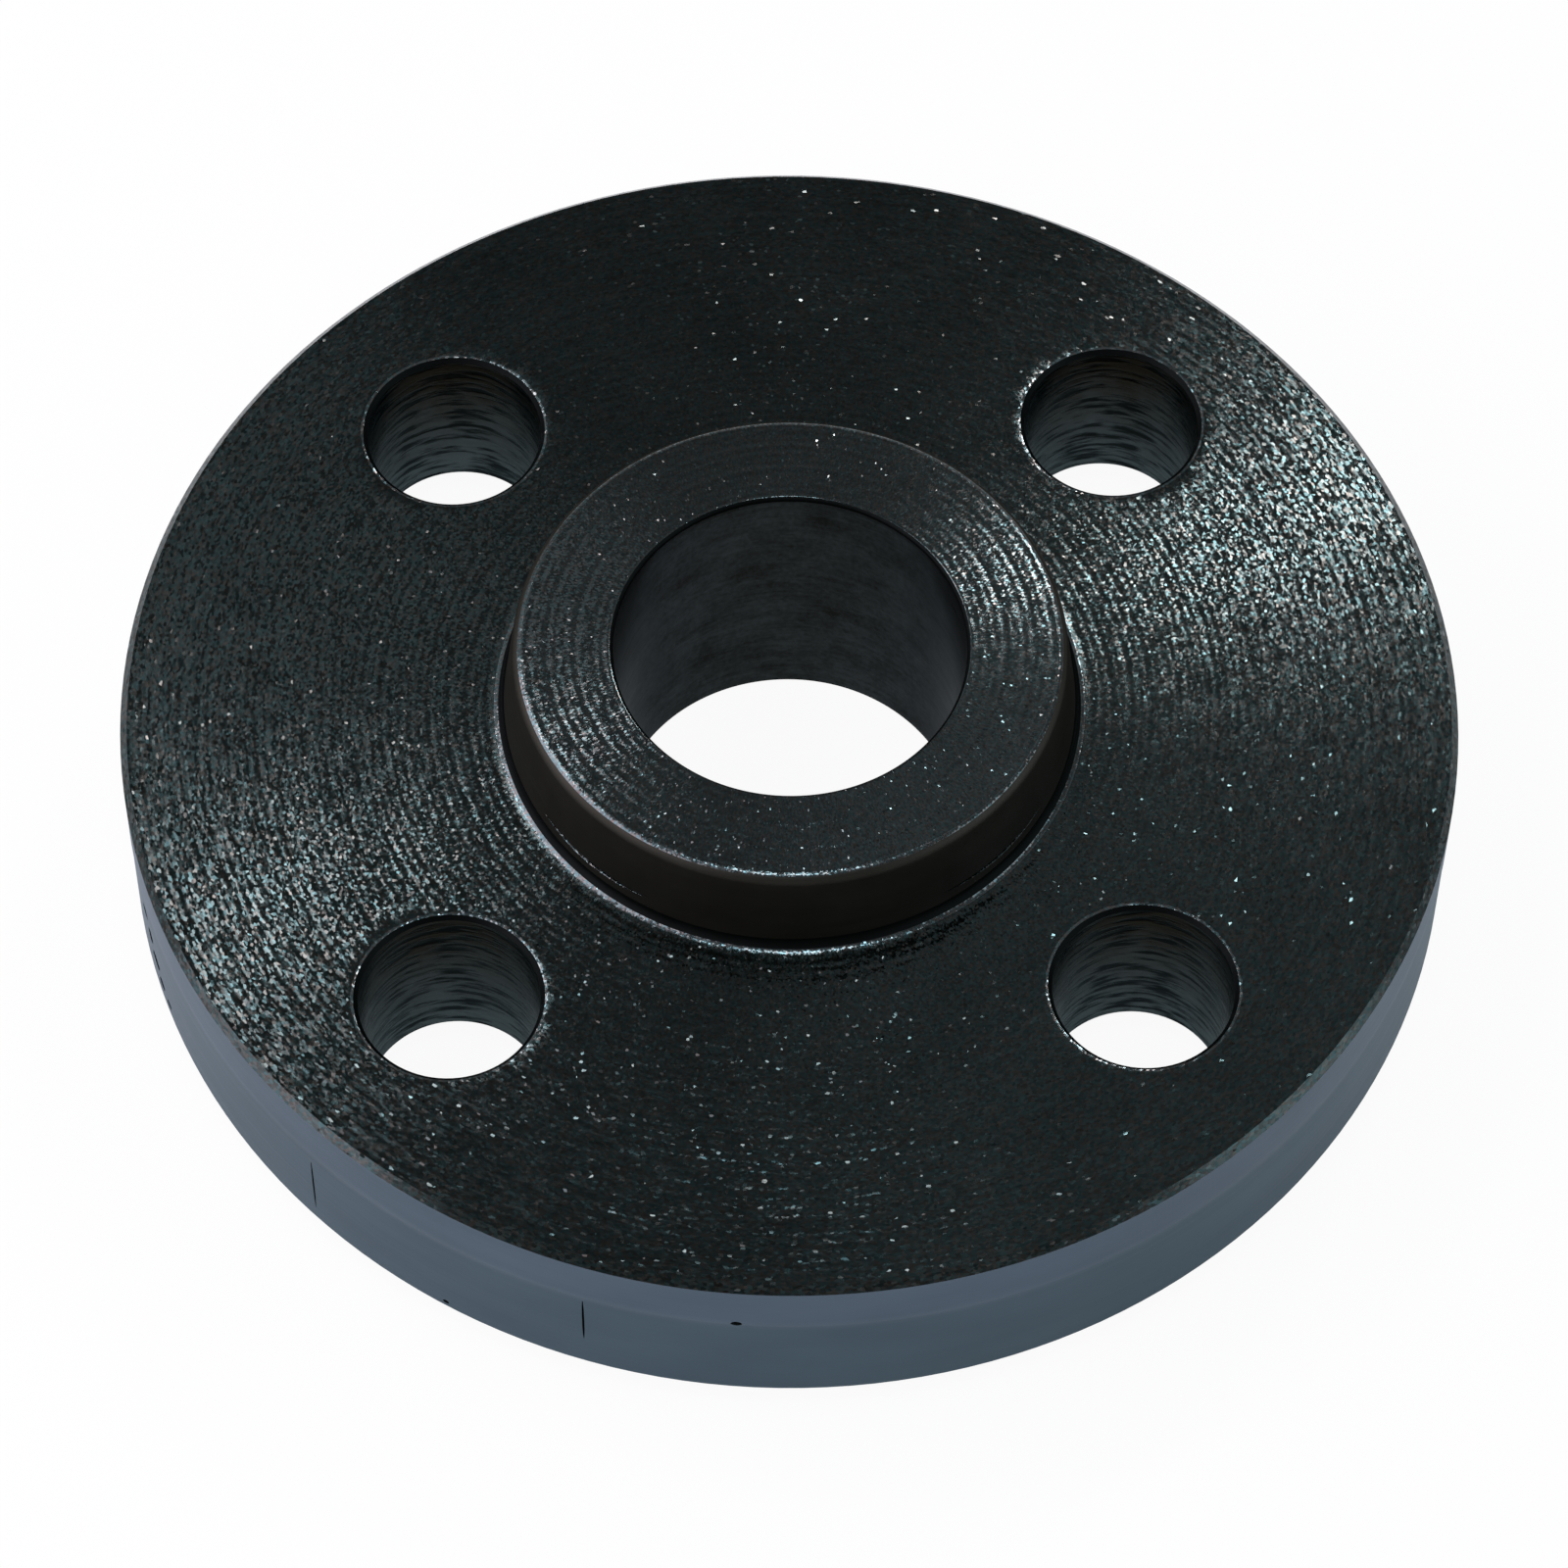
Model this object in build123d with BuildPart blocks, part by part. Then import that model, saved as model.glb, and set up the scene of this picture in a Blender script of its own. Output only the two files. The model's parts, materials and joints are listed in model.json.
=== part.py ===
from build123d import *
from math import radians, tan
import os

# A hubbed slip-on pipe flange for a DN 20 pipe, forged in steel and turned all over.
# It is one solid: a thick disc, a raised gasket face below, a short tapered hub above,
# a straight bore that the pipe slips into, and four bolt holes.
# The gasket face lies on Z = 0, centred on the origin, and the hub stands up along +Z.

# Driving dimensions in millimetres
outside_dia = 105.0
bolt_circle_dia = 75.0
bolt_hole_dia = 14.0
bolt_hole_count = 4
bore_dia = 27.5
gasket_face_dia = 58.0
gasket_face_height = 2.0
flange_thickness = 18.0
overall_height = 26.0
hub_base_dia = 45.0

# Draft, corner radii and edge breaks
hub_draft_deg = 7.0
hub_root_radius = 1.0
hub_nose_radius = 0.9
gasket_root_radius = 0.5
gasket_edge_break = 0.3
rim_edge_break = 0.55
bore_edge_break = 0.4
bolt_hole_edge_break = 0.4

# Radii and heights that follow from the sizes above
rim_radius = outside_dia / 2
gasket_radius = gasket_face_dia / 2
hub_base_radius = hub_base_dia / 2
hub_height = overall_height - flange_thickness
hub_top_radius = hub_base_radius - hub_height * tan(radians(hub_draft_deg))

# The bolt holes straddle the centre lines, so the first one stands half a step off +X
first_hole_deg = 180.0 / bolt_hole_count

with BuildPart() as flange:
    # Half of the turned section, from the axis outwards
    with BuildSketch(Plane.XZ) as section:
        with BuildLine():
            Polyline(
                (0, 0),
                (gasket_radius, 0),
                (gasket_radius, gasket_face_height),
                (rim_radius, gasket_face_height),
                (rim_radius, flange_thickness),
                (hub_base_radius, flange_thickness),
                (hub_top_radius, overall_height),
                (0, overall_height),
                close=True,
            )
        make_face()

        # The turning tool leaves its nose radius in the inner corners and rounds the hub's end
        rounded_corners = [
            (hub_base_radius, flange_thickness, hub_root_radius),
            (hub_top_radius, overall_height, hub_nose_radius),
            (gasket_radius, gasket_face_height, gasket_root_radius),
        ]
        for radius, height, corner_radius in rounded_corners:
            corner = section.vertices().sort_by_distance((radius, height, 0))[0]
            fillet(corner, corner_radius)

        # The sharp outer corners of the gasket face and of the rim are broken
        gasket_corner = section.vertices().sort_by_distance((gasket_radius, 0, 0))[0]
        chamfer(gasket_corner, gasket_edge_break)
        rim_corners = section.vertices().sort_by(Axis.X)[-2:]
        chamfer(rim_corners, rim_edge_break)

    # Spun about the pipe's axis, the section gives the turned forging
    revolve(axis=Axis.Z)

    # The pipe's bore is straight, with both mouths broken
    Hole(radius=bore_dia / 2)
    chamfer(flange.edges(Select.LAST).filter_by(GeomType.CIRCLE), bore_edge_break)

    # The bolt holes are drilled through the disc on the bolt circle, outside the gasket face
    with PolarLocations(bolt_circle_dia / 2, bolt_hole_count, start_angle=first_hole_deg):
        Hole(radius=bolt_hole_dia / 2)
    chamfer(flange.edges(Select.LAST).filter_by(GeomType.CIRCLE), bolt_hole_edge_break)

flange.part.label = "flange"

os.makedirs("parts", exist_ok=True)
export_step(flange.part, "parts/flange.step")

print("volume in cubic centimetres", round(flange.part.volume / 1000, 2))
print("size in millimetres", flange.part.bounding_box().size)
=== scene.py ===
# %% [markdown]
# # A hubbed slip-on pipe flange in dark turned steel
#
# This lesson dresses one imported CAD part. The real object is a forged steel disc that a lathe has
# faced all over: a thick rim, a short tapered hub, a straight bore for the pipe and four drilled
# bolt holes. The CAD gives the sizes and the place. Blender adds what makes turned steel look
# turned: the feed marks of the cutting tool, drill rings in the holes, scribed marks on the rim,
# a thin dark oxide skin and the sparkle of torn grain.

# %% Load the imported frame
import json
import math
import random

import bmesh
import bpy
from mathutils import Matrix, Vector


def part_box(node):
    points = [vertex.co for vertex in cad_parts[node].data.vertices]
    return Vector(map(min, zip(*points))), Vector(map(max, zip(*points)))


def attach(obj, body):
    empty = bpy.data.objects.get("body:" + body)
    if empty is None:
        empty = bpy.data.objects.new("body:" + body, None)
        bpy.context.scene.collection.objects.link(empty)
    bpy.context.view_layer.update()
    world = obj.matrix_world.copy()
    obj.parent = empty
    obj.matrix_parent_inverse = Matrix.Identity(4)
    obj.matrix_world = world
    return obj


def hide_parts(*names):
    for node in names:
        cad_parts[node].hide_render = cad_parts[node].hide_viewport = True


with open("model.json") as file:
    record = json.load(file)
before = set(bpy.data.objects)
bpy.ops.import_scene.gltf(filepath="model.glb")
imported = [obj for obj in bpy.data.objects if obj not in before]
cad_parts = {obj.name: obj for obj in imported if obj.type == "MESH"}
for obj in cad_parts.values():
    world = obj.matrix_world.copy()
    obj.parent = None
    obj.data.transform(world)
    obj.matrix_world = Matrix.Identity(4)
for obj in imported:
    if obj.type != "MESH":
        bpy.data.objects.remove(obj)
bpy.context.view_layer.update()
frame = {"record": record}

# %% [markdown]
# ## The driving sizes
#
# The box of the CAD node gives the outside diameter and the height. The mounts in the record give
# the bore, the bolt circle and the height of the nut face. The rest are the small sizes of a
# turned part: the raised gasket face, the hub's taper and the broken corners.

# %% Sizes from the frame
mm = 0.001

low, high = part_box("flange")
mounts = {mount["name"]: mount for mount in frame["record"]["mounts"]}
bolt_pattern = mounts["bolt_circle"]["dims"]

rim_radius = (high.x - low.x) / 2
overall_height = high.z
nut_face_height = mounts["nut_face"]["pos_m"][2]
bore_radius = mounts["pipe_bore"]["dims"]["r_mm"] * mm
bolt_circle_radius = bolt_pattern["pcd_mm"] / 2 * mm
bolt_hole_radius = bolt_pattern["hole_r_mm"] * mm
bolt_hole_count = bolt_pattern["count"]

gasket_radius = 29.0 * mm
gasket_height = 2.0 * mm
hub_base_radius = 22.5 * mm
hub_draft = math.radians(7)
hub_top_radius = hub_base_radius - (overall_height - nut_face_height) * math.tan(hub_draft)

print("rim", rim_radius, "bore", bore_radius, "hub end", round(hub_top_radius, 5))

# %% [markdown]
# ## The turned section
#
# Everything but the bolt holes is round about one axis, so the flange starts as half of its
# section: corner points joined by straight edges. On the rim two cuts of the lathe met and left
# a step of a few hundredths, the witness line. Each other corner is then beveled by its own
# amount. One segment gives the flat break left by a file or a chamfer tool, several give the
# round left by the tool's nose. The tangent length of a round is its radius times the tangent of
# half the turn, so rounds on the tapered hub keep their radius.

# %% Draw and round the section
edge_break = 0.4 * mm
rim_break = 0.55 * mm
gasket_break = 0.3 * mm
gasket_root = 0.5 * mm
hub_root = 1.0 * mm
hub_nose = 0.9 * mm

root_turn = math.pi / 2 - hub_draft
nose_turn = math.pi / 2 - hub_draft
round_segments = 8
break_segments = 4

witness_step = 0.04 * mm
witness_low = 12.5 * mm
witness_high = 12.7 * mm
low_rim_radius = rim_radius - witness_step

# Radius, height, distance cut back from the corner, segments
corners = [
    (bore_radius, 0, edge_break, break_segments),
    (gasket_radius, 0, gasket_break, break_segments),
    (gasket_radius, gasket_height, gasket_root, round_segments),
    (low_rim_radius, gasket_height, rim_break - witness_step, 1),
    (low_rim_radius, witness_low, 0, 0),
    (rim_radius, witness_high, 0, 0),
    (rim_radius, nut_face_height, rim_break, 1),
    (hub_base_radius, nut_face_height, hub_root * math.tan(root_turn / 2), round_segments),
    (hub_top_radius, overall_height, hub_nose * math.tan(nose_turn / 2), round_segments),
    (bore_radius, overall_height, edge_break, break_segments),
]

section = bmesh.new()
points = [section.verts.new((radius, 0, height)) for radius, height, cut, steps in corners]
for here, there in zip(points, points[1:] + points[:1]):
    section.edges.new((here, there))
for point, (radius, height, cut, steps) in zip(points, corners):
    if cut > 0:
        bmesh.ops.bevel(
            section, geom=[point], offset=cut, offset_type="OFFSET", segments=steps,
            profile=0.5, affect="VERTICES", material=-1,
        )
print("section corners", len(section.verts), "edges", len(section.edges))

# %% [markdown]
# ## Feed marks
#
# A lathe tool moves a fixed step for each turn of the work, and its round nose leaves a shallow
# scallop at every step. The step here is three quarters of a millimetre and the scallop about
# two hundredths deep, which is enough to split a highlight into rings. A texture could fake it, but
# real scallops catch the lamp as the part turns, so each straight edge of the section is
# subdivided and its new points are sunk along a parabola. The crests stay on the CAD surface.

# %% Cut the feed marks into the section
def run_between(bm, axis, value, start, end):
    """The straight edge of the section at this radius (axis 0) or height (axis 2)."""
    other = 2 - axis
    for edge in bm.edges:
        on_line = all(abs(v.co[axis] - value) < 1e-6 for v in edge.verts)
        inside = all(start - 1e-6 < v.co[other] < end + 1e-6 for v in edge.verts)
        if on_line and inside and edge.calc_length() > 1.5 * mm:
            return edge
    raise ValueError("no straight edge there")


def scallop(bm, edge, pitch, depth, steps, inward):
    """Subdivides an edge of the section and sinks scallops of this pitch and depth into it."""
    length = edge.calc_length()
    count = max(1, round(length / pitch))
    start = edge.verts[0].co.copy()
    made = bmesh.ops.subdivide_edges(bm, edges=[edge], cuts=count * steps - 1)
    chance = random.Random(count)
    depths = [depth * chance.uniform(0.4, 1.6) for turn in range(count)]
    for vert in {v for v in made["geom_inner"] if isinstance(v, bmesh.types.BMVert)}:
        place = (vert.co - start).length / length * count
        across = 2 * (place % 1) - 1
        if abs(across) < 0.999:
            vert.co += Vector(inward) * depths[int(place)] * (1 - across ** 2)
    return count


feed = 0.75 * mm
up, down, out, to_axis = (0, 0, 1), (0, 0, -1), (1, 0, 0), (-1, 0, 0)

# Which line, its value, the stretch along the other axis, pitch, depth, steps, and the way down
cuts = {
    "nut face": (2, nut_face_height, hub_base_radius, rim_radius, feed, 0.016 * mm, 4, down),
    "hub end": (2, overall_height, bore_radius, hub_top_radius, feed, 0.022 * mm, 4, down),
    "gasket face": (2, 0, bore_radius, gasket_radius, 0.8 * mm, 0.05 * mm, 3, up),
    "back face": (2, gasket_height, gasket_radius, rim_radius, 0.9 * mm, 0.03 * mm, 3, up),
    "bore wall": (0, bore_radius, 0, overall_height, 1.1 * mm, 0.012 * mm, 2, out),
    "low rim": (0, low_rim_radius, gasket_height, witness_low, 1.5 * mm, 0.010 * mm, 2, to_axis),
    "high rim": (0, rim_radius, witness_high, nut_face_height, 1.2 * mm, 0.010 * mm, 2, to_axis),
}
for name, (axis, value, start, end, pitch, depth, steps, inward) in cuts.items():
    edge = run_between(section, axis, value, start, end)
    print(name, "scallops", scallop(section, edge, pitch, depth, steps, inward))

# %% [markdown]
# ## Spin the section
#
# One full spin about the pipe's axis turns the section into the forging. The first and the last
# copy are merged, and the normals are made to point outwards. Each zone of the surface was cut by
# a different tool and looks different, so its faces get their own material index. The steep
# faces of the breaks and the hub's foot go to a zone whose near-black colour is painted shade.

# %% Spin it and name the zones
turns = 180
zones = ["faced", "hub_end", "worn_edge", "hub_side", "broken", "rim_skin", "bored", "drilled"]

body = section
bmesh.ops.spin(
    body, geom=body.verts[:] + body.edges[:], cent=(0, 0, 0), axis=(0, 0, 1),
    angle=2 * math.pi, steps=turns, use_merge=True,
)
bmesh.ops.remove_doubles(body, verts=body.verts, dist=1e-7)
bmesh.ops.recalc_face_normals(body, faces=body.faces)


def zone_of(face):
    """The zone that a face of the turned body belongs to."""
    middle = face.calc_center_median()
    radius = middle.xy.length
    steepness = abs(face.normal.z)
    if steepness < 0.3 and radius > rim_radius - rim_break:
        return "rim_skin"
    if steepness < 0.1 and radius < bore_radius + edge_break:
        return "bored"
    # Steep faces off the hub side get the near-black colour of painted shade.
    if steepness < 0.88 and radius < rim_radius - rim_break:
        on_hub = middle.z > nut_face_height + hub_root and radius > hub_top_radius - hub_nose
        return "hub_side" if on_hub else "broken"
    if steepness < 0.97 and radius < rim_radius - 2 * rim_break:
        return "worn_edge"
    return "hub_end" if middle.z > nut_face_height + hub_root else "faced"


for face in body.faces:
    face.smooth = True
    face.material_index = zones.index(zone_of(face))
print("turned faces", len(body.faces), "open edges", sum(not e.is_manifold for e in body.edges))

# %% [markdown]
# ## Drill the bolt holes
#
# The drill is a solid of its own: a spun section as well, with the countersink that breaks both
# mouths and the uneven rings that a drill scratches into the wall. A boolean takes it out of the
# disc four times, as a drill press would. The drill brings its own material, so the wall of each
# hole keeps the look of a drilled hole.

# %% Make the drill
def mesh_object(name, bm, materials):
    """A new object at the origin from a bmesh, with these materials."""
    mesh = bpy.data.meshes.new(name)
    bm.to_mesh(mesh)
    bm.free()
    for material in materials:
        mesh.materials.append(material)
    thing = bpy.data.objects.new(name, mesh)
    bpy.context.scene.collection.objects.link(thing)
    return thing


finish = {zone: bpy.data.materials.new(zone) for zone in zones}

sink = 0.33 * mm
lip_rise = 0.05 * mm
lip_width = 0.24 * mm
overrun = 2.0 * mm
drill_steps = 84

upper_half = [
    (bolt_hole_radius, nut_face_height - lip_rise - sink),
    (bolt_hole_radius + sink, nut_face_height - lip_rise),
    (bolt_hole_radius + sink + lip_width * overrun / lip_rise, nut_face_height - lip_rise + overrun),
    (0, nut_face_height - lip_rise + overrun),
]
middle_height = (gasket_height + nut_face_height) / 2
lower_half = [(radius, 2 * middle_height - height) for radius, height in reversed(upper_half)]

drill = bmesh.new()
points = [drill.verts.new((radius, 0, height)) for radius, height in lower_half + upper_half]
for here, there in zip(points, points[1:]):
    drill.edges.new((here, there))
wall = run_between(drill, 0, bolt_hole_radius, gasket_height, nut_face_height)
print("drill rings", scallop(drill, wall, 0.8 * mm, 0.025 * mm, 3, out))
bmesh.ops.spin(
    drill, geom=drill.verts[:] + drill.edges[:], cent=(0, 0, 0), axis=(0, 0, 1),
    angle=2 * math.pi, steps=drill_steps, use_merge=True,
)
bmesh.ops.remove_doubles(drill, verts=drill.verts, dist=1e-7)

# %% Copy the drill to each hole and cut
first_hole = math.pi / bolt_hole_count
bmesh.ops.translate(drill, verts=drill.verts, vec=(bolt_circle_radius, 0, 0))
bmesh.ops.rotate(drill, verts=drill.verts, cent=(0, 0, 0), matrix=Matrix.Rotation(first_hole, 3, "Z"))
one_drill = drill.verts[:] + drill.edges[:] + drill.faces[:]
for hole in range(1, bolt_hole_count):
    copied = bmesh.ops.duplicate(drill, geom=one_drill)["geom"]
    turned = [item for item in copied if isinstance(item, bmesh.types.BMVert)]
    swing = Matrix.Rotation(2 * math.pi * hole / bolt_hole_count, 3, "Z")
    bmesh.ops.rotate(drill, verts=turned, cent=(0, 0, 0), matrix=swing)
bmesh.ops.recalc_face_normals(drill, faces=drill.faces)
for face in drill.faces:
    face.smooth = True
    steepness = abs(face.normal.z)
    face.material_index = 0 if steepness < 0.3 else 1 if steepness < 0.88 else 2

flange = mesh_object("turned_flange", body, [finish[zone] for zone in zones])
# The drill's countersinks take the near-black painted shade.
drills = mesh_object("drills", drill, [finish[zone] for zone in ("drilled", "broken", "worn_edge")])


def take_away(thing, cutter):
    """Cuts one object out of another, keeps the result as the mesh and deletes the cutter."""
    cut = thing.modifiers.new("cut", "BOOLEAN")
    cut.operation = "DIFFERENCE"
    cut.solver = "EXACT"
    cut.material_mode = "TRANSFER"
    cut.object = cutter
    graph = bpy.context.evaluated_depsgraph_get()
    old = thing.data
    thing.data = bpy.data.meshes.new_from_object(thing.evaluated_get(graph))
    thing.modifiers.clear()
    bpy.data.objects.remove(cutter)
    bpy.data.meshes.remove(old)
    print("after the cut", len(thing.data.polygons), "faces")


take_away(flange, drills)

# %% [markdown]
# ## Scribed marks on the rim
#
# The rim carries two short scribed lines, a nick where the witness line runs, and a small group
# of pits at the left. They are shallow but they have a shape, so they are cut too. Each cutter is
# a ball squeezed to a long almond, and the deepest reaches 0.35 mm in.

# %% Cut the marks
# Azimuth in degrees, middle height, length along the axis, width round the rim, depth
rim_marks = [
    (224.8, 7.6 * mm, 8.0 * mm, 0.22 * mm, 0.14 * mm),
    (251.6, 9.0 * mm, 7.0 * mm, 0.22 * mm, 0.13 * mm),
    (264.5, 12.7 * mm, 0.7 * mm, 0.9 * mm, 0.12 * mm),
    (194.8, 9.6 * mm, 1.2 * mm, 1.6 * mm, 0.30 * mm),
    (196.2, 8.0 * mm, 1.6 * mm, 1.4 * mm, 0.30 * mm),
    (197.4, 6.0 * mm, 1.4 * mm, 2.0 * mm, 0.35 * mm),
    (198.8, 4.4 * mm, 1.1 * mm, 1.4 * mm, 0.30 * mm),
    (200.6, 3.8 * mm, 0.8 * mm, 1.0 * mm, 0.25 * mm),
    (238.8, 3.1 * mm, 0.5 * mm, 0.6 * mm, 0.15 * mm),
]
scriber = bmesh.new()
for azimuth, height, length, width, depth in rim_marks:
    made = bmesh.ops.create_icosphere(scriber, subdivisions=2, radius=1)["verts"]
    bmesh.ops.scale(scriber, verts=made, vec=(depth, width / 2, length / 2))
    bmesh.ops.translate(scriber, verts=made, vec=(rim_radius, 0, height))
    swing = Matrix.Rotation(math.radians(azimuth), 3, "Z")
    bmesh.ops.rotate(scriber, verts=made, cent=(0, 0, 0), matrix=swing)
# The rim marks take the near-black painted shade.
take_away(flange, mesh_object("scribers", scriber, [finish["broken"]]))

crease = math.radians(25)
flange.data.set_sharp_from_angle(angle=crease)
print("triangles", sum(len(p.vertices) - 2 for p in flange.data.polygons))

# %% [markdown]
# ## Shader maths as Python
#
# A material is a small calculation that runs at every point of the surface. Writing it with node
# calls alone is long, so one class wraps a socket and lets ordinary operators add Math nodes. A
# second class holds the material's tree, and its one method adds any other node.

# %% A socket that takes part in sums
class Socket:
    """An output of a node. Operators on it add Math nodes and give the new output."""

    def __init__(self, surface, output):
        self.surface = surface
        self.output = output

    def named(self, name):
        """Another output of the same node."""
        return Socket(self.surface, self.output.node.outputs[name])

    def maths(self, operation, *values):
        places = dict(enumerate(values))
        return self.surface.node("ShaderNodeMath", {"operation": operation}, places)

    def __add__(self, other):
        return self.maths("ADD", self, other)

    def __sub__(self, other):
        return self.maths("SUBTRACT", self, other)

    def __rsub__(self, other):
        return self.maths("SUBTRACT", other, self)

    def __mul__(self, other):
        return self.maths("MULTIPLY", self, other)

    def __truediv__(self, other):
        return self.maths("DIVIDE", self, other)

    def __pow__(self, other):
        return self.maths("POWER", self, other)

    def __gt__(self, other):
        return self.maths("GREATER_THAN", self, other)

    __radd__ = __add__
    __rmul__ = __mul__


# %% A material's surface
class Surface:
    """The node tree of one material or of the world."""

    def __init__(self, owner):
        owner.use_nodes = True
        self.tree = owner.node_tree
        self.tree.nodes.clear()

    def node(self, kind, settings=None, sockets=None):
        """Adds a node: its type, its settings, then the values or links of its sockets."""
        made = self.tree.nodes.new(kind)
        for name, value in (settings or {}).items():
            if name == "stops":
                set_stops(made.color_ramp, value)
            else:
                setattr(made, name, value)
        for name, value in (sockets or {}).items():
            if isinstance(value, Socket):
                self.tree.links.new(value.output, made.inputs[name])
            else:
                made.inputs[name].default_value = value
        return Socket(self, made.outputs[0]) if made.outputs else made

    def mix(self, factor, first, second):
        """A colour between two colours."""
        made = self.node(
            "ShaderNodeMix", {"data_type": "RGBA"}, {0: factor, 6: first, 7: second},
        )
        return Socket(self, made.output.node.outputs[2])

    def vector(self, operation, first, second):
        """Vector Math on two vectors."""
        return self.node("ShaderNodeVectorMath", {"operation": operation}, {0: first, 1: second})

    def scaled(self, vector, factor):
        """A vector made longer or shorter."""
        settings = {"operation": "SCALE"}
        return self.node("ShaderNodeVectorMath", settings, {0: vector, "Scale": factor})


def set_stops(ramp, stops):
    """Places a ramp's stops, given as position and grey level."""
    while len(ramp.elements) > 1:
        ramp.elements.remove(ramp.elements[-1])
    for index, (position, grey) in enumerate(stops):
        stop = ramp.elements[0] if index == 0 else ramp.elements.new(position)
        stop.position = position
        stop.color = (grey, grey, grey, 1)


# %% [markdown]
# ## Patterns that follow the cutting
#
# A lathe leaves everything running round the axis. The Object coordinates are turned into an
# angle, a radius and a height, and noise read in those runs round the part as the tool did. The
# angle is multiplied by a typical radius, so that its unit is metres like the others.

# %% Coordinates round the axis
def position(surface):
    """The point's place on the part."""
    return surface.node("ShaderNodeTexCoord").named("Object")


def around(surface, place, typical_radius, stretch):
    """The place unrolled: length round the axis, shortened by stretch, then radius and height."""
    parts = surface.node("ShaderNodeSeparateXYZ", None, {"Vector": place})
    x, y, z = parts, parts.named("Y"), parts.named("Z")
    angle = x.maths("ARCTAN2", y, x)
    radius = (x * x + y * y) ** 0.5
    sockets = {"X": angle * (typical_radius / stretch), "Y": radius, "Z": z}
    return surface.node("ShaderNodeCombineXYZ", None, sockets)


def noise(surface, place, size, detail=2.0, roughness=0.5):
    """Cloudy noise from 0 to 1 whose blotches are about this size in metres."""
    sockets = {"Vector": place, "Scale": 1 / size, "Detail": detail, "Roughness": roughness}
    return surface.node("ShaderNodeTexNoise", None, sockets)


def ramp(surface, value, *stops):
    """The value bent through a ramp of grey stops."""
    return surface.node("ShaderNodeValToRGB", {"stops": stops}, {"Fac": value})


# %% [markdown]
# ## Torn grain
#
# Under a strong lamp the faces sparkle. Each spark is one torn grain of steel, a fifth of a
# millimetre across, that happens to lie like a small mirror towards the lamp. A bump map only
# rounds such grains off, so each cell of a Voronoi pattern gets a tilt of its own that is added
# to the normal. Most cells tilt little, a few tilt a lot, and those few are the lonely sparks
# far from the highlight.

# %% Facets of torn grain
def flat_place(surface, place):
    """The place without its height: the vector out from the axis."""
    return surface.vector("MULTIPLY", place, (1, 1, 0))


def grain(surface, place, size, outward, bias, sideways, wild):
    """A tilted normal for each grain, with two random numbers of that grain."""
    unrolled = around(surface, place, 38 * mm, 1.3)
    cells = surface.node(
        "ShaderNodeTexVoronoi", None, {"Vector": unrolled, "Scale": 1 / size, "Randomness": 1.0},
    )
    lot = surface.node("ShaderNodeTexWhiteNoise", None, {"Vector": cells.named("Position")})
    luck = lot
    draws = surface.node("ShaderNodeSeparateColor", None, {"Color": lot.named("Color")})
    outwards = surface.node(
        "ShaderNodeVectorMath", {"operation": "NORMALIZE"}, {0: flat_place(surface, place)},
    )
    around_axis = surface.vector("CROSS_PRODUCT", (0, 0, 1), outwards)
    lean = surface.scaled(outwards, (draws + draws.named("Green") - 1) * outward + bias)
    again = surface.node("ShaderNodeSeparateColor", None, {"Color": cells.named("Color")})
    swing = surface.scaled(around_axis, (draws.named("Blue") + again - 1) * sideways)
    centred = surface.vector("SUBTRACT", cells.named("Color"), (0.5, 0.5, 0.5))
    rare = ramp(surface, luck, (0.0, 0.0), (0.945, 0.0), (1.0, 1.0))
    toss = surface.scaled(centred, rare * wild)
    upright = surface.node("ShaderNodeNewGeometry").named("Normal")
    leaning = surface.vector("ADD", upright, surface.vector("ADD", lean, surface.vector("ADD", swing, toss)))
    normal = surface.node("ShaderNodeVectorMath", {"operation": "NORMALIZE"}, {0: leaning})
    return normal, again.named("Green"), luck


def finish_surface(surface, sockets):
    """The steel's shader, joined to the material's output."""
    steel = surface.node("ShaderNodeBsdfPrincipled", None, sockets)
    surface.node("ShaderNodeOutputMaterial", None, {"Surface": steel})


# %% [markdown]
# ## The faced steel
#
# The nut face, the hub's end and the gasket side were faced with a coarse feed and left alone.
# A thin dark oxide makes them nearly black, so almost all that shows is what they mirror.

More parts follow.
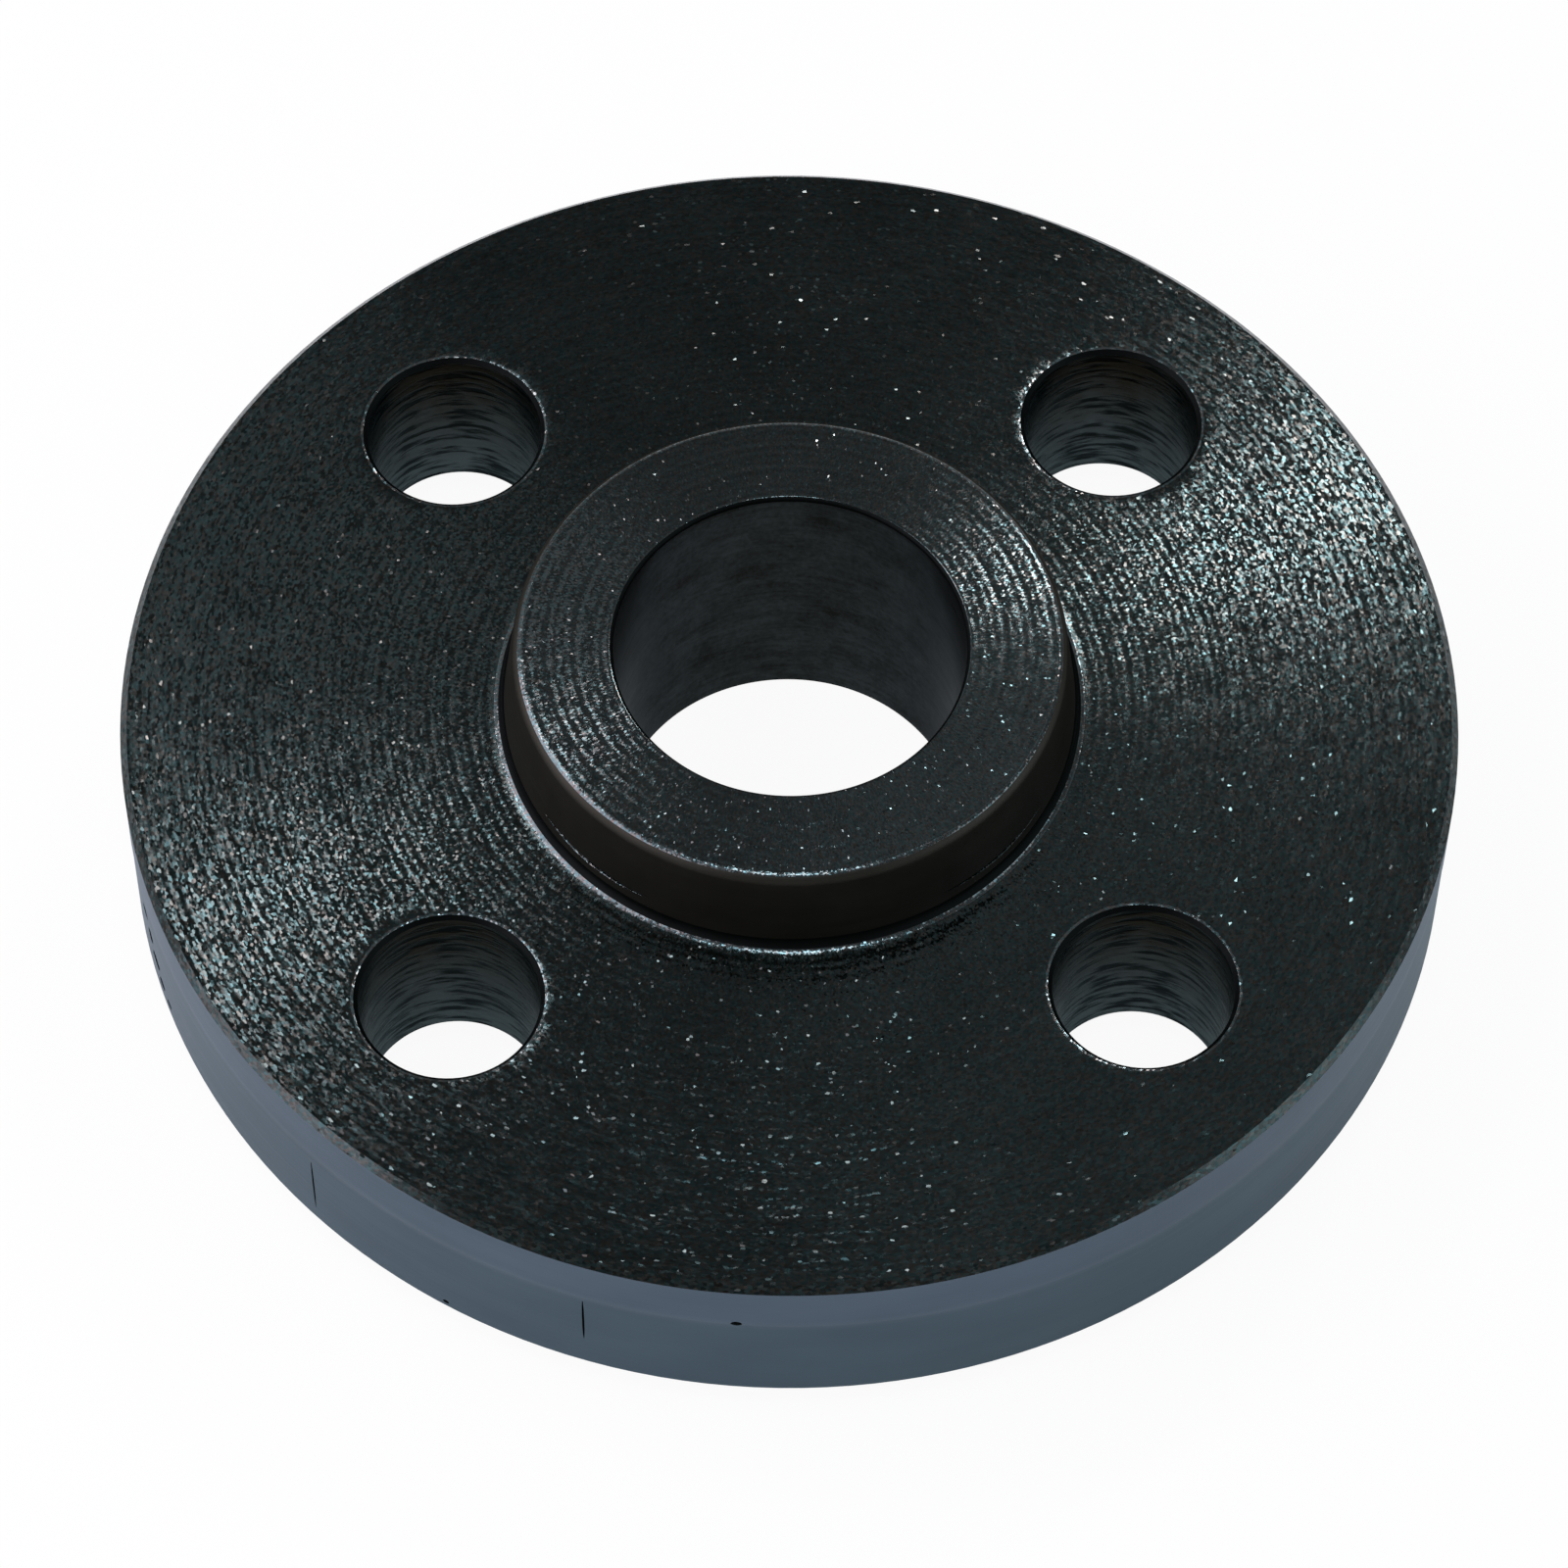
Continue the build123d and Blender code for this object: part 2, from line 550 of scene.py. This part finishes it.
# %% Faced steel
def faced_steel(material, outward, bias, sideways, furrows, shine, lift):
    surface = Surface(material)
    place = position(surface)
    smear = noise(surface, around(surface, place, 38 * mm, 5), 0.5 * mm, 3)
    patches = noise(surface, place, 12 * mm, 2)
    clouds = noise(surface, place, 9 * mm, 4)
    wild = ramp(surface, patches, (0.35, 0.15), (0.65, 1.0))
    ploughed = ramp(surface, noise(surface, place, 10 * mm, 1), (0.48, 0.1), (0.6, 1.0))
    furrow = (smear - 0.5) * ploughed * furrows
    reaching = surface.node(
        "ShaderNodeVectorMath", {"operation": "LENGTH"}, {0: flat_place(surface, place)},
    )
    radius = reaching.named("Value")
    reach = ramp(surface, radius / rim_radius, (0.5, 0.6), (0.78, 1.0), (1.0, 0.8)) * outward
    normal, hue, luck = grain(surface, place, 0.19 * mm, reach, furrow + bias, sideways, wild)
    dark = surface.mix(clouds, (0.029, 0.037, 0.037, 1), (0.056, 0.069, 0.069, 1))
    tint = surface.mix(hue, (1.22, 0.92, 0.86, 1), (0.76, 1.08, 1.16, 1))
    pale = surface.mix(lift, dark, (0.8, 0.9, 0.95, 1))
    depth = ramp(surface, luck, (0.0, 0.55), (0.7, 0.85), (0.95, 1.0)) * 1.35
    base = surface.scaled(surface.vector("MULTIPLY", pale, tint), depth)
    rough = shine + ramp(surface, smear, (0.3, 0.0), (0.7, 1.0)) * 0.08
    bump = surface.node(
        "ShaderNodeBump", None,
        {"Strength": 0.2, "Distance": 0.02 * mm, "Height": smear, "Normal": normal},
    )
    finish_surface(surface, {"Base Color": base, "Metallic": 1.0, "Roughness": rough, "Normal": bump})


faced_steel(finish["faced"], 0.15, 0.065, 0.03, 0.2, 0.135, 0.0)
faced_steel(finish["hub_end"], 0.20, 0.07, 0.03, 0.3, 0.135, 0.03)
faced_steel(finish["worn_edge"], 0.20, 0.0, 0.10, 0.1, 0.15, 0.09)

# %% [markdown]
# ## The hub's side
#
# The taper was cut with a fine feed, so it is smooth and mirrors the dark face below it. The
# hub's foot, the steep part of the broken edges, the countersinks and the marks on the rim share
# its shader with a near-black colour: painted shade, darkened into the colour itself.

# %% Hub side and edge breaks
def fine_steel(material, dim, light, gloss, edge_tint):
    surface = Surface(material)
    place = position(surface)
    streaks = noise(surface, around(surface, place, 22 * mm, 30), 0.35 * mm, 4)
    clouds = noise(surface, place, 5 * mm, 4)
    base = surface.mix(clouds, dim, light)
    rough = gloss + streaks * 0.18
    bump = surface.node(
        "ShaderNodeBump", None, {"Strength": 0.25, "Distance": 0.02 * mm, "Height": streaks},
    )
    finish_surface(surface, {
        "Base Color": base, "Metallic": 1.0, "Roughness": rough, "Normal": bump,
        "Specular Tint": edge_tint,
    })


fine_steel(
    finish["hub_side"], (0.026, 0.025, 0.021, 1), (0.048, 0.047, 0.041, 1), 0.44, (0.6, 0.6, 0.57, 1),
)
# Painted shade: a near-black copy of the hub side's steel for the breaks, the hub's foot, the countersinks
# and the rim marks.
fine_steel(
    finish["broken"], (0.004, 0.005, 0.005, 1), (0.010, 0.012, 0.012, 1), 0.45, (0.3, 0.3, 0.3, 1),
)

# %% [markdown]
# ## The rim
#
# The rim is satin blue-grey: fine streaks run round it, a little uneven in tone where hands and
# oil have touched it. Below the witness line it is painted darker all round, a painted shade of
# the floor's shadow that it mirrors.

# %% Rim
def rim_steel(material):
    surface = Surface(material)
    place = position(surface)
    ringed = around(surface, place, 52 * mm, 60)
    streaks = noise(surface, ringed, 0.4 * mm, 5, 0.6)
    patches = noise(surface, around(surface, place, 52 * mm, 3), 4 * mm, 4)
    tone = streaks * 0.35 + patches * 0.65
    raised = surface.node("ShaderNodeSeparateXYZ", None, {"Vector": place}).named("Z") > witness_low
    # Painted shade: the rim below the witness line gets a darker copy of its colour.
    painted_shade_low_tone = surface.mix(tone, (0.038, 0.063, 0.083, 1), (0.078, 0.122, 0.154, 1))
    high_tone = surface.mix(tone, (0.050, 0.075, 0.102, 1), (0.102, 0.141, 0.184, 1))
    base = surface.mix(raised, painted_shade_low_tone, high_tone)
    rough = 0.36 + streaks * 0.16
    bump = surface.node(
        "ShaderNodeBump", None, {"Strength": 0.3, "Distance": 0.02 * mm, "Height": streaks},
    )
    finish_surface(surface, {
        "Base Color": base, "Metallic": 1.0, "Roughness": rough, "Normal": bump,
        "Specular Tint": (0.9, 0.95, 1.0, 1),
    })


rim_steel(finish["rim_skin"])

# %% [markdown]
# ## Bored and drilled walls
#
# The bore is smooth with a few scratches. The drilled holes are rougher, with rings all the way
# down. Their walls carry painted shade and a painted reflection: dark brown at the top, lighter
# blue-grey lower down, where the wall mirrors the white floor.

# %% Bore and hole walls
def bored_steel(material):
    surface = Surface(material)
    place = position(surface)
    streaks = noise(surface, around(surface, place, 13.75 * mm, 12), 0.45 * mm, 4)
    clouds = noise(surface, place, 4 * mm, 6, 0.7)
    flecks = noise(surface, place, 0.4 * mm, 3)
    worn = ramp(
        surface, streaks * 0.25 + clouds * 0.5 + flecks * 0.25, (0.38, 0.0), (0.60, 1.0),
    )
    base = surface.mix(worn, (0.014, 0.014, 0.012, 1), (0.044, 0.052, 0.054, 1))
    rough = 0.22 + streaks * 0.2
    bump = surface.node(
        "ShaderNodeBump", None, {"Strength": 0.4, "Distance": 0.03 * mm, "Height": streaks},
    )
    finish_surface(surface, {
        "Base Color": base, "Metallic": 1.0, "Roughness": rough, "Normal": bump,
        "Specular Tint": (0.58, 0.6, 0.62, 1),
    })


def drilled_steel(material):
    surface = Surface(material)
    place = position(surface)
    parts = surface.node("ShaderNodeSeparateXYZ", None, {"Vector": place})
    height = parts.named("Z")
    levels = surface.node(
        "ShaderNodeCombineXYZ", None, {"X": parts * 0.16, "Y": parts.named("Y") * 0.16, "Z": height},
    )
    rings = ramp(surface, noise(surface, levels, 0.5 * mm, 4), (0.40, 0.0), (0.55, 1.0))
    clouds = noise(surface, place, 3 * mm, 5, 0.7)
    depth = (nut_face_height - height) / (nut_face_height - gasket_height)
    # Painted shade and painted reflection: the wall runs from a dark painted shade at the top to a lighter
    # painted reflection of the white floor lower down.
    painted_floor_reflection = ramp(surface, depth * 0.75 + clouds * 0.5, (0.35, 0.0), (0.95, 1.0))
    painted_shade_top = surface.mix(rings, (0.003, 0.002, 0.001, 1), (0.026, 0.020, 0.012, 1))
    painted_reflection_low = surface.mix(rings, (0.012, 0.016, 0.017, 1), (0.090, 0.116, 0.124, 1))
    base = surface.mix(painted_floor_reflection, painted_shade_top, painted_reflection_low)
    rough = 0.18 + rings * 0.16
    bump = surface.node(
        "ShaderNodeBump", None, {"Strength": 0.6, "Distance": 0.04 * mm, "Height": rings},
    )
    finish_surface(surface, {
        "Base Color": base, "Metallic": 1.0, "Roughness": rough, "Normal": bump,
        "Specular Tint": (0.6, 0.66, 0.68, 1),
    })


bored_steel(finish["bored"])
drilled_steel(finish["drilled"])

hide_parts("flange")
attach(flange, "root")

# %% [markdown]
# ## The floor
#
# The photograph has a plain white ground. A wide white sheet catches the shadow, and its colour
# for camera rays is mostly a flat white, so that the ground stays clean and the lamps needn't be
# strong.

# %% White ground
def white_ground(material):
    surface = Surface(material)
    paper = surface.node("ShaderNodeBsdfDiffuse", None, {"Color": (0.9, 0.9, 0.9, 1)})
    white = surface.node("ShaderNodeEmission", None, {"Color": (1, 1, 1, 1), "Strength": 1.0})
    ray = surface.node("ShaderNodeLightPath")
    share = ray.named("Is Camera Ray") * 0.94 + ray.named("Is Glossy Ray") * 0.3
    ground = surface.node("ShaderNodeMixShader", None, {0: share, 1: paper, 2: white})
    surface.node("ShaderNodeOutputMaterial", None, {"Surface": ground})


ground_size = 4.0
sheet = bmesh.new()
bmesh.ops.create_grid(sheet, x_segments=1, y_segments=1, size=ground_size / 2)
ground = mesh_object("ground", sheet, [bpy.data.materials.new("white_paper")])
white_ground(ground.data.materials[0])

# %% [markdown]
# ## The world and the lamps
#
# Dark steel is drawn by what it mirrors. Low down the world is white, like the sweep of a studio.
# Overhead it is dim, like the unlit ceiling that the photograph's black top face mirrors. One
# narrow lamp stands behind at the right and one behind at the left, and each lights one half of
# the bow-tie of sparkle across the rings. Two broad dim lamps fill the dark between them, a lamp
# overhead draws the thin lines on the rounded corners, and a soft lamp on each side lights the
# floor that the rim mirrors.

# %% World
def studio_world(world):
    surface = Surface(world)
    ray = surface.node("ShaderNodeLightPath")
    heading = surface.node("ShaderNodeTexCoord").named("Generated")
    height = surface.node("ShaderNodeSeparateXYZ", None, {"Vector": heading}).named("Z")
    dim = ramp(surface, height, (0.0, 0.5), (0.25, 0.4), (0.5, 0.16), (1.0, 0.14))
    level = ray.named("Is Camera Ray")
    strength = level + (1 - level) * dim
    sky = surface.node("ShaderNodeBackground", None, {"Color": (1, 1, 1, 1), "Strength": strength})
    surface.node("ShaderNodeOutputWorld", None, {"Surface": sky})


studio = bpy.data.worlds.new("studio")
bpy.context.scene.world = studio
studio_world(studio)


# %% Lamps
def lamp(name, toward, distance, width, length, lobe, watts, colour):
    """An area lamp in this direction, its length laid along the line of half-way slopes at lobe."""
    light = bpy.data.lights.new(name, "AREA")
    light.shape = "RECTANGLE"
    light.size = width
    light.size_y = length
    light.energy = watts
    light.color = colour
    thing = bpy.data.objects.new(name, light)
    front = Vector(toward).normalized()
    spoke = Vector((math.cos(math.radians(lobe)), math.sin(math.radians(lobe)), 0))
    long_side = Vector((spoke.x, spoke.y, -spoke.dot(front) / front.z)).normalized()
    thing.location = front * distance
    thing.rotation_mode = "QUATERNION"
    basis = Matrix((long_side.cross(front), long_side, front)).transposed()
    thing.rotation_quaternion = basis.to_quaternion()
    bpy.context.scene.collection.objects.link(thing)


lamp("key", (0.349, 0.656, 0.670), 0.9, 0.08, 0.19, 22, 1.2, (1.0, 0.97, 0.97))
lamp("rear", (-0.357, 0.370, 0.857), 0.9, 0.09, 0.20, 205, 0.62, (1.0, 0.97, 1.0))
lamp("glow", (-0.50, 0.45, 0.74), 1.0, 0.7, 0.7, 0, 0.6, (0.9, 0.97, 1.0))
lamp("soft", (0.245, 0.41, 0.88), 1.0, 0.5, 0.5, 0, 0.12, (0.9, 0.97, 1.0))
lamp("top", (0.0, -0.10, 1.0), 1.0, 0.22, 0.22, 0, 1.6, (0.8, 0.93, 1.0))
lamp("left", (-0.8, -0.1, 0.6), 0.5, 0.6, 0.6, 90, 2.5, (1.0, 0.91, 1.0))
lamp("right", (0.85, -0.25, 0.45), 0.6, 0.5, 0.5, 90, 1.0, (0.85, 0.94, 1.0))

# %% [markdown]
# ## The camera
#
# The camera was found by fitting a pinhole to the circles of the photograph. It is a long lens
# half a metre away that looks down at fifty-seven degrees, turned a little off the line between
# the bolt holes and rolled by half a degree.

# %% Camera
azimuth = math.radians(-1.64)
elevation = math.radians(57.41)
roll = math.radians(0.58)
distance = 524.1 * mm
right_shift = -0.35 * mm
up_shift = 2.09 * mm

back = Vector((
    math.sin(azimuth) * math.cos(elevation),
    -math.cos(azimuth) * math.cos(elevation),
    math.sin(elevation),
))
level_right = Vector((math.cos(azimuth), math.sin(azimuth), 0))
level_up = back.cross(level_right)
right = level_right * math.cos(roll) + level_up * math.sin(roll)
up_side = level_up * math.cos(roll) - level_right * math.sin(roll)
aim = Vector((0, 0, gasket_height)) + right * right_shift + up_side * up_shift

lens = bpy.data.cameras.new("camera")
lens.lens = 149.34
lens.sensor_width = 36
lens.clip_start = 0.01
camera = bpy.data.objects.new("camera", lens)
camera.location = aim + back * distance
camera.rotation_mode = "QUATERNION"
camera.rotation_quaternion = Matrix((right, up_side, back)).transposed().to_quaternion()
bpy.context.scene.collection.objects.link(camera)
bpy.context.scene.camera = camera

bpy.context.scene.view_settings.view_transform = "Standard"

# %% Finish
bpy.context.view_layer.update()
